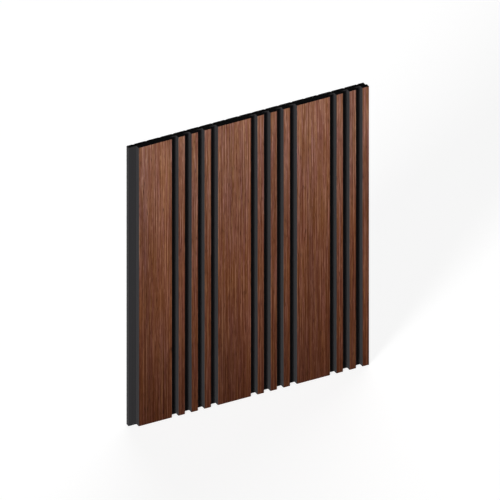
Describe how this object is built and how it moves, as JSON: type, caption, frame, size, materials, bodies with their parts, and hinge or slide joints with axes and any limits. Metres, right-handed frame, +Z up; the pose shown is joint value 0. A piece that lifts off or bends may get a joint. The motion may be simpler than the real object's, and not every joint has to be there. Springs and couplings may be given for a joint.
{
  "type": "slatted wall panel",
  "caption": "Slatted wall panel of lapped extruded polystyrene boards with wide and narrow slats, each slat faced in wood-look film; glued flat to a wall.",
  "frame": {"origin": "centre of the panel's back face, which is glued to the wall", "axes": "+Z up along the slats, +Y through the back face into the wall, +X to the right seen from the front"},
  "size_m": [0.368, 0.013, 0.446],
  "materials": {
    "board": "matt dark grey extruded polystyrene, fine closed-cell grain on the cut ends",
    "film": "satin printed film with a dark brown straight wood grain along the slats"
  },
  "bodies": {
    "root": {"left_board": "board", "middle_board": "board", "right_board": "board", "left_wide_facing": "film", "left_narrow_facing_1": "film", "left_narrow_facing_2": "film", "left_narrow_facing_3": "film", "middle_wide_facing": "film", "middle_narrow_facing_1": "film", "middle_narrow_facing_2": "film", "middle_narrow_facing_3": "film", "right_wide_facing": "film", "right_narrow_facing_1": "film", "right_narrow_facing_2": "film", "right_narrow_facing_3": "film"}
  },
  "joints": []
}
